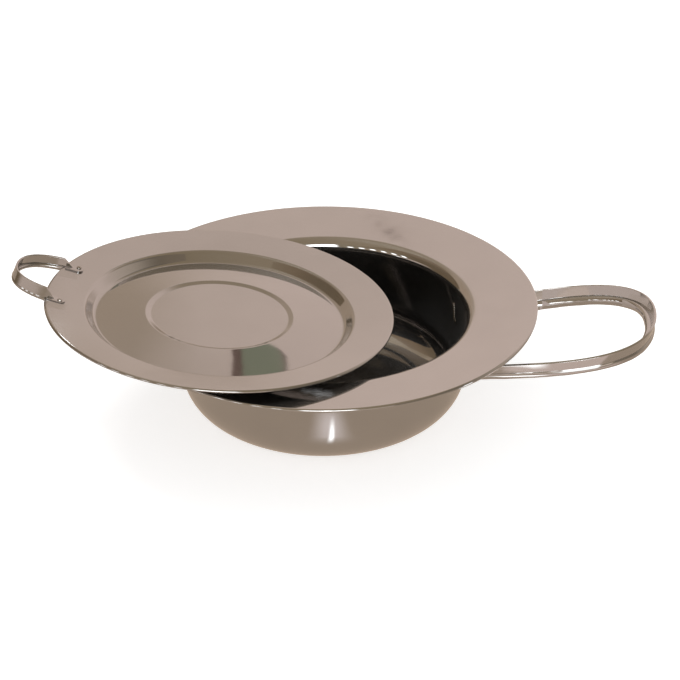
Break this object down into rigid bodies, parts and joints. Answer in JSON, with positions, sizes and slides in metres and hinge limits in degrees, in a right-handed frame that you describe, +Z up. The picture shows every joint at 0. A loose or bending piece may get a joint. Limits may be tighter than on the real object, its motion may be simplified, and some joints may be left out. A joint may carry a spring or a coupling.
{
  "type": "lidded flanged pan",
  "caption": "Polished steel round pan with a wide dished flange and a loop handle of bead-edged strip, and a loose pressed lid with its own small loop handle resting askew on the flange.",
  "frame": {"origin": "middle of the pan's flat base, on the surface it stands on", "axes": "+Z up along the axis of the bowl, +X towards the pan handle's side, -Y the front"},
  "size_m": [0.432, 0.29, 0.1054],
  "materials": {
    "polished_steel": "mirror polished stainless sheet",
    "weld_metal": "dressed weld, duller than the sheet"
  },
  "bodies": {
    "pan": {"pan_bowl": "polished_steel", "pan_handle": "polished_steel", "pan_handle_weld_front": "weld_metal", "pan_handle_weld_rear": "weld_metal"},
    "lid": {"lid_plate": "polished_steel", "lid_handle": "polished_steel", "lid_handle_weld_front": "weld_metal", "lid_handle_weld_rear": "weld_metal"}
  },
  "joints": [
    {"name": "lid_lift", "type": "slide", "parent": "pan", "child": "lid", "axis": [0, 0, 1], "range_m": [0, 0.15]}
  ]
}
